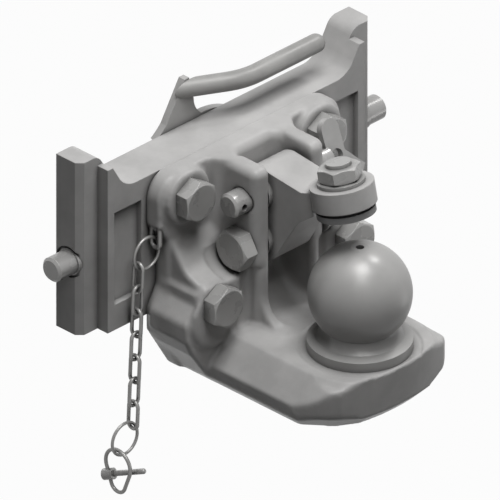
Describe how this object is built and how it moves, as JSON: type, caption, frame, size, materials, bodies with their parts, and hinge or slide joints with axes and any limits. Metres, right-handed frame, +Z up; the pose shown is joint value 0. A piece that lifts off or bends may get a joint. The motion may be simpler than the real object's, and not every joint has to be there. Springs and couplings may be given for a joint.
{
  "type": "automatic tractor hitch",
  "caption": "Height-adjustable trailer coupling for a tractor: slide with sprung locking pins and lever, coupling ball on a platform, hold-down arm with its pull pin and chained linch pin.",
  "frame": {"origin": "centre of the coupling ball", "axes": "+Y from the ball to the tractor, +Z up, +X to the right"},
  "size_m": [0.35, 0.2281, 0.2957],
  "materials": {
    "casting": "satin grey",
    "bright_steel": "turned",
    "fastener_steel": "zinc plated",
    "plate_steel": "satin",
    "dark_steel": "dark",
    "spring_steel": "oiled",
    "chain_steel": "satin"
  },
  "bodies": {
    "hitch": {"carriage": "casting", "hitch_body": "casting", "hold_down_arm": "casting", "coupling_ball": "bright_steel", "pin_spring_left": "spring_steel", "pin_spring_right": "spring_steel", "hold_down_pad": "dark_steel", "pad_ring": "dark_steel", "arm_bush_upper": "bright_steel", "arm_bush_lower": "bright_steel", "pad_screw": "bright_steel", "chain_staple": "chain_steel", "lever_pivot_bolt": "fastener_steel", "flange_bolt_upper_left": "fastener_steel", "flange_bolt_upper_right": "fastener_steel", "flange_bolt_lower_left": "fastener_steel", "flange_bolt_lower_right": "fastener_steel", "pivot_bolt": "fastener_steel", "pivot_washer": "fastener_steel", "pivot_nut": "fastener_steel", "pad_washer": "fastener_steel", "pad_lock_nut": "fastener_steel", "ball_washer": "fastener_steel", "ball_bolt": "fastener_steel"},
    "lever": {"cam_lever_plate": "plate_steel", "grip_bar": "plate_steel"},
    "left_locking": {"locking_pin_left": "bright_steel", "follower_stud_left": "bright_steel"},
    "right_locking": {"locking_pin_right": "bright_steel", "follower_stud_right": "bright_steel"},
    "pull_pin": {"hold_down_pin": "bright_steel", "pin_handle": "plate_steel"},
    "top_ring": {"upper_ring": "chain_steel"},
    "link_1": {"chain_link_1": "chain_steel"},
    "link_2": {"chain_link_2": "chain_steel"},
    "link_3": {"chain_link_3": "chain_steel"},
    "link_4": {"chain_link_4": "chain_steel"},
    "link_5": {"chain_link_5": "chain_steel"},
    "link_6": {"chain_link_6": "chain_steel"},
    "link_7": {"chain_link_7": "chain_steel"},
    "bottom_ring": {"lower_ring": "chain_steel"},
    "bail": {"linch_bail": "chain_steel"},
    "linch": {"linch_pin": "chain_steel"}
  },
  "joints": [
    {"name": "lever_turn", "type": "hinge", "parent": "hitch", "child": "lever", "pos_m": [0, 0.1713, 0.027], "axis": [0, -1, 0], "range_deg": [0, 30]},
    {"name": "left_pin_slide", "type": "slide", "parent": "hitch", "child": "left_locking", "axis": [1, 0, 0], "range_m": [0, 0.0201], "deforming": ["pin_spring_left"]},
    {"name": "right_pin_slide", "type": "slide", "parent": "hitch", "child": "right_locking", "axis": [-1, 0, 0], "range_m": [0, 0.0201], "deforming": ["pin_spring_right"]},
    {"name": "pull_pin_slide", "type": "slide", "parent": "hitch", "child": "pull_pin", "axis": [1, 0, 0], "range_m": [0, 0.105]},
    {"name": "ring_swing", "type": "hinge", "parent": "hitch", "child": "top_ring", "pos_m": [-0.0932, 0.1245, 0.0268], "axis": [0, 1, 0], "range_deg": [-2, 15]},
    {"name": "link_1_swing", "type": "hinge", "parent": "top_ring", "child": "link_1", "pos_m": [-0.11166, 0.1245, 0.01535], "axis": [-1, 0, 0], "range_deg": [0, 25]},
    {"name": "link_2_swing", "type": "hinge", "parent": "link_1", "child": "link_2", "pos_m": [-0.1125, 0.1245, -0.00316], "axis": [0, 1, 0], "range_deg": [-2, 30]},
    {"name": "link_3_swing", "type": "hinge", "parent": "link_2", "child": "link_3", "pos_m": [-0.1134, 0.1245, -0.02285], "axis": [-1, 0, 0], "range_deg": [0, 30]},
    {"name": "link_4_swing", "type": "hinge", "parent": "link_3", "child": "link_4", "pos_m": [-0.11429, 0.1245, -0.04252], "axis": [0, 1, 0], "range_deg": [-6, 30]},
    {"name": "link_5_swing", "type": "hinge", "parent": "link_4", "child": "link_5", "pos_m": [-0.11518, 0.1245, -0.0622], "axis": [-1, 0, 0], "range_deg": [-20, 30]},
    {"name": "link_6_swing", "type": "hinge", "parent": "link_5", "child": "link_6", "pos_m": [-0.11608, 0.1245, -0.08188], "axis": [0, 1, 0], "range_deg": [-12, 30]},
    {"name": "link_7_swing", "type": "hinge", "parent": "link_6", "child": "link_7", "pos_m": [-0.11697, 0.1245, -0.10156], "axis": [-1, 0, 0], "range_deg": [-30, 30]},
    {"name": "lower_ring_swing", "type": "hinge", "parent": "link_7", "child": "bottom_ring", "pos_m": [-0.11787, 0.1245, -0.12124], "axis": [0, 1, 0], "range_deg": [-15, 30]},
    {"name": "bail_swing", "type": "hinge", "parent": "bottom_ring", "child": "bail", "pos_m": [-0.1335, 0.1245, -0.13419], "axis": [0, 1, 0], "range_deg": [-20, 20]},
    {"name": "linch_pin_turn", "type": "hinge", "parent": "bail", "child": "linch", "pos_m": [-0.1335, 0.13408, -0.15857], "axis": [0, 0.3548, 0.9349], "range_deg": [0, 70]}
  ],
  "couplings": [
    {"joint": "left_pin_slide", "follows": "lever_turn", "m_per_rad": 0.038197},
    {"joint": "right_pin_slide", "follows": "lever_turn", "m_per_rad": 0.038197}
  ]
}
